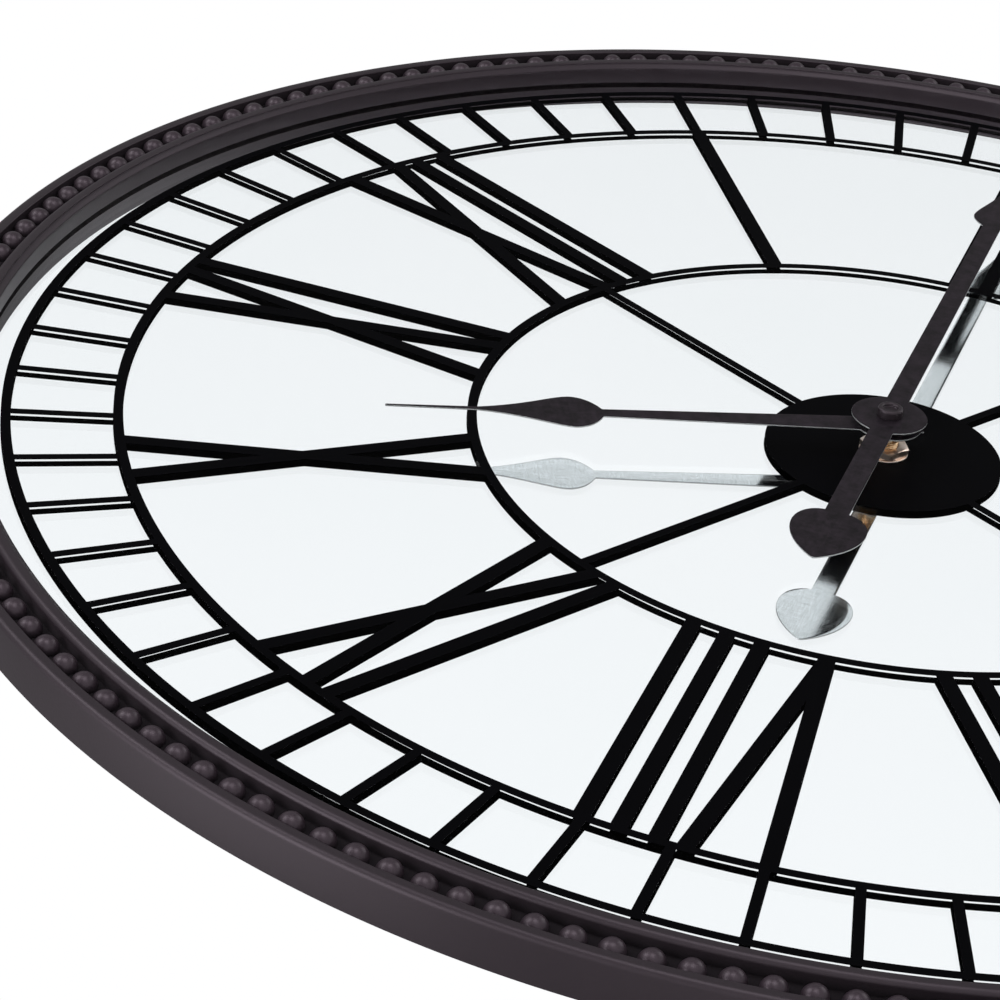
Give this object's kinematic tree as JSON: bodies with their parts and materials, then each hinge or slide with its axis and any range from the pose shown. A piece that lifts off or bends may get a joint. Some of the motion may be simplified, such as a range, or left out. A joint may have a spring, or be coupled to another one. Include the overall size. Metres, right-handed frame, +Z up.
{
  "type": "wall clock",
  "caption": "Round mirror wall clock with a beaded dark frame, Roman numerals printed on the glass, leaf-shaped hands and a battery movement.",
  "frame": {"origin": "axis of the screw that the clock hangs from, at the top end of the keyhole slot, in the plane of the wall", "axes": "+Z up towards 12 o'clock, +X to the right as the clock is read, the dial faces -Y and the wall is the plane y = 0; the dial's centre is at x = 0, z = -0.25"},
  "size_m": [0.6999, 0.0441, 0.7],
  "materials": {
    "frame_lacquer": "satin",
    "clear_glass": "polished",
    "silvering": "mirror",
    "black_print": "gloss",
    "board": "matt",
    "zinc_steel": "satin",
    "rubber": "matt",
    "hand_lacquer": "satin",
    "brass": "polished",
    "nickel_brass": "polished",
    "case_plastic": "matt",
    "circuit": "satin",
    "epoxy": "gloss",
    "bright_steel": "polished",
    "core_steel": "satin",
    "train_plastic": "satin",
    "copper": "gloss",
    "ferrite": "matt",
    "cell_jacket": "gloss"
  },
  "bodies": {
    "clock_case": {"frame": "frame_lacquer", "beading": "frame_lacquer", "mirror_glass": "clear_glass", "mirror_silvering": "silvering", "dial_print": "black_print", "back_board": "board", "board_clips": "zinc_steel", "clip_screws": "zinc_steel", "hanger_plate": "zinc_steel", "hanger_screws": "zinc_steel", "wall_bumpers": "rubber", "fixing_nut": "nickel_brass", "brass_washer": "nickel_brass", "rubber_washer": "rubber", "threaded_bushing": "nickel_brass", "movement_front": "case_plastic", "movement_back": "case_plastic", "middle_plate": "case_plastic", "plate_screws": "zinc_steel", "circuit_board": "circuit", "chip_cover": "epoxy", "quartz_crystal": "bright_steel", "stator": "core_steel", "coil_core": "core_steel", "coil_bobbin": "train_plastic", "coil_winding": "copper", "contact_plus": "bright_steel", "contact_minus": "bright_steel"},
    "minute": {"minute_hand": "hand_lacquer", "minute_collet": "brass", "hand_nut": "hand_lacquer", "minute_arbor": "bright_steel", "clutch_spring": "bright_steel"},
    "hour": {"hour_hand": "hand_lacquer", "hour_collet": "brass", "hour_wheel": "train_plastic"},
    "setting": {"motion_wheel": "train_plastic", "setting_knob": "case_plastic"},
    "rotor": {"rotor_magnet": "ferrite", "rotor_pinion": "train_plastic"},
    "intermediate": {"intermediate_wheel": "train_plastic"},
    "seconds": {"seconds_wheel": "train_plastic"},
    "third": {"third_wheel": "train_plastic"},
    "centre": {"centre_wheel": "train_plastic"},
    "cell": {"battery": "cell_jacket"}
  },
  "joints": [
    {"name": "minute_hand_turn", "type": "hinge", "parent": "clock_case", "child": "minute", "pos_m": [0, -0.04, -0.25], "axis": [0, 1, 0], "continuous": true},
    {"name": "hour_hand_turn", "type": "hinge", "parent": "clock_case", "child": "hour", "pos_m": [0, -0.0365, -0.25], "axis": [0, 1, 0], "continuous": true},
    {"name": "setting_knob_turn", "type": "hinge", "parent": "clock_case", "child": "setting", "pos_m": [0.01143, -0.0022, -0.2566], "axis": [0, 1, 0], "continuous": true},
    {"name": "rotor_spin", "type": "hinge", "parent": "clock_case", "child": "rotor", "pos_m": [-0.01988, -0.0084, -0.24843], "axis": [0, 1, 0], "continuous": true},
    {"name": "intermediate_wheel_spin", "type": "hinge", "parent": "clock_case", "child": "intermediate", "pos_m": [-0.00935, -0.0054, -0.2446], "axis": [0, 1, 0], "continuous": true},
    {"name": "seconds_wheel_spin", "type": "hinge", "parent": "clock_case", "child": "seconds", "pos_m": [0, -0.0068, -0.25], "axis": [0, 1, 0], "continuous": true},
    {"name": "third_wheel_spin", "type": "hinge", "parent": "clock_case", "child": "third", "pos_m": [0.01003, -0.0084, -0.24298], "axis": [0, 1, 0], "continuous": true},
    {"name": "centre_wheel_spin", "type": "hinge", "parent": "clock_case", "child": "centre", "pos_m": [0, -0.0103, -0.25], "axis": [0, 1, 0], "continuous": true},
    {"name": "battery_slide", "type": "slide", "parent": "clock_case", "child": "cell", "axis": [0, 1, 0], "range_m": [0, 0.03]}
  ],
  "couplings": [
    {"joint": "hour_hand_turn", "follows": "minute_hand_turn", "ratio": 0.083333},
    {"joint": "setting_knob_turn", "follows": "minute_hand_turn", "ratio": -0.33333},
    {"joint": "intermediate_wheel_spin", "follows": "rotor_spin", "ratio": -0.16667},
    {"joint": "seconds_wheel_spin", "follows": "rotor_spin", "ratio": 0.033333},
    {"joint": "third_wheel_spin", "follows": "rotor_spin", "ratio": -0.0044444},
    {"joint": "centre_wheel_spin", "follows": "rotor_spin", "ratio": 0.00055556}
  ]
}
